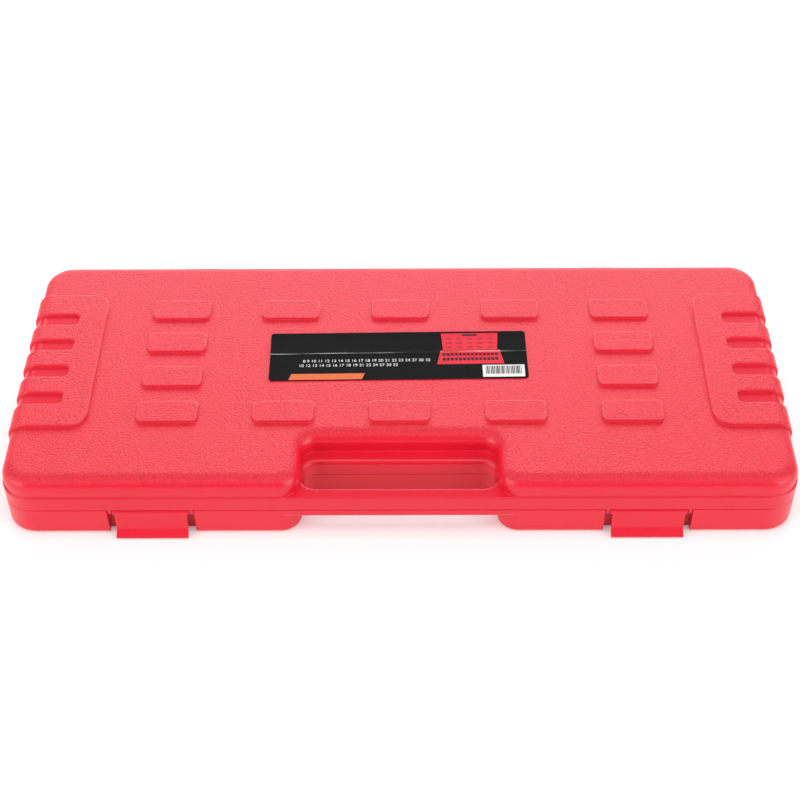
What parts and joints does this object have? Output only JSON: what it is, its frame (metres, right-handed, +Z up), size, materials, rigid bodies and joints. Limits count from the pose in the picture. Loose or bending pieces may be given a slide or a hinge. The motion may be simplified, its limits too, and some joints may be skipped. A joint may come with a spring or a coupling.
{
  "type": "socket set in case",
  "caption": "Closed red moulded plastic case with a carry handle, hinged lid and snap latches, holding short and deep impact sockets in shaped seats.",
  "frame": {"origin": "centre of the footprint of the closed case, on the surface it lies on", "axes": "+X along the case to the right, +Y from the handle to the hinges, +Z up through the lid"},
  "size_m": [0.562, 0.2506, 0.054],
  "materials": {
    "case_plastic": "moulded grain",
    "latch_plastic": "smooth",
    "socket_steel": "black phosphate",
    "pin_steel": "drawn",
    "label_print": "printed film"
  },
  "bodies": {
    "base": {"base": "case_plastic", "hinge_pin_left": "pin_steel", "hinge_pin_right": "pin_steel", "socket_deep_10": "socket_steel", "socket_deep_12": "socket_steel", "socket_deep_13": "socket_steel", "socket_deep_14": "socket_steel", "socket_deep_15": "socket_steel", "socket_deep_16": "socket_steel", "socket_deep_17": "socket_steel", "socket_deep_18": "socket_steel", "socket_deep_19": "socket_steel", "socket_deep_21": "socket_steel", "socket_deep_22": "socket_steel", "socket_deep_24": "socket_steel", "socket_deep_27": "socket_steel", "socket_deep_30": "socket_steel", "socket_deep_32": "socket_steel", "socket_short_08": "socket_steel", "socket_short_09": "socket_steel", "socket_short_10": "socket_steel", "socket_short_11": "socket_steel", "socket_short_12": "socket_steel", "socket_short_13": "socket_steel", "socket_short_14": "socket_steel", "socket_short_15": "socket_steel", "socket_short_16": "socket_steel", "socket_short_17": "socket_steel", "socket_short_18": "socket_steel", "socket_short_19": "socket_steel", "socket_short_20": "socket_steel", "socket_short_21": "socket_steel", "socket_short_22": "socket_steel", "socket_short_23": "socket_steel", "socket_short_24": "socket_steel", "socket_short_27": "socket_steel", "socket_short_30": "socket_steel", "socket_short_32": "socket_steel"},
    "lid": {"lid": "case_plastic", "label": "label_print", "latch_pin_left": "pin_steel", "latch_pin_right": "pin_steel"},
    "latch_left": {"latch_left": "latch_plastic"},
    "latch_right": {"latch_right": "latch_plastic"}
  },
  "joints": [
    {"name": "lid_hinge", "type": "hinge", "parent": "base", "child": "lid", "pos_m": [0, 0.12115, 0.024], "axis": [-1, 0, 0], "range_deg": [0, 105]},
    {"name": "latch_left_swing", "type": "hinge", "parent": "lid", "child": "latch_left", "pos_m": [-0.175, -0.11635, 0.0206], "axis": [-1, 0, 0], "range_deg": [0, 90]},
    {"name": "latch_right_swing", "type": "hinge", "parent": "lid", "child": "latch_right", "pos_m": [0.175, -0.11635, 0.0206], "axis": [-1, 0, 0], "range_deg": [0, 90]}
  ]
}
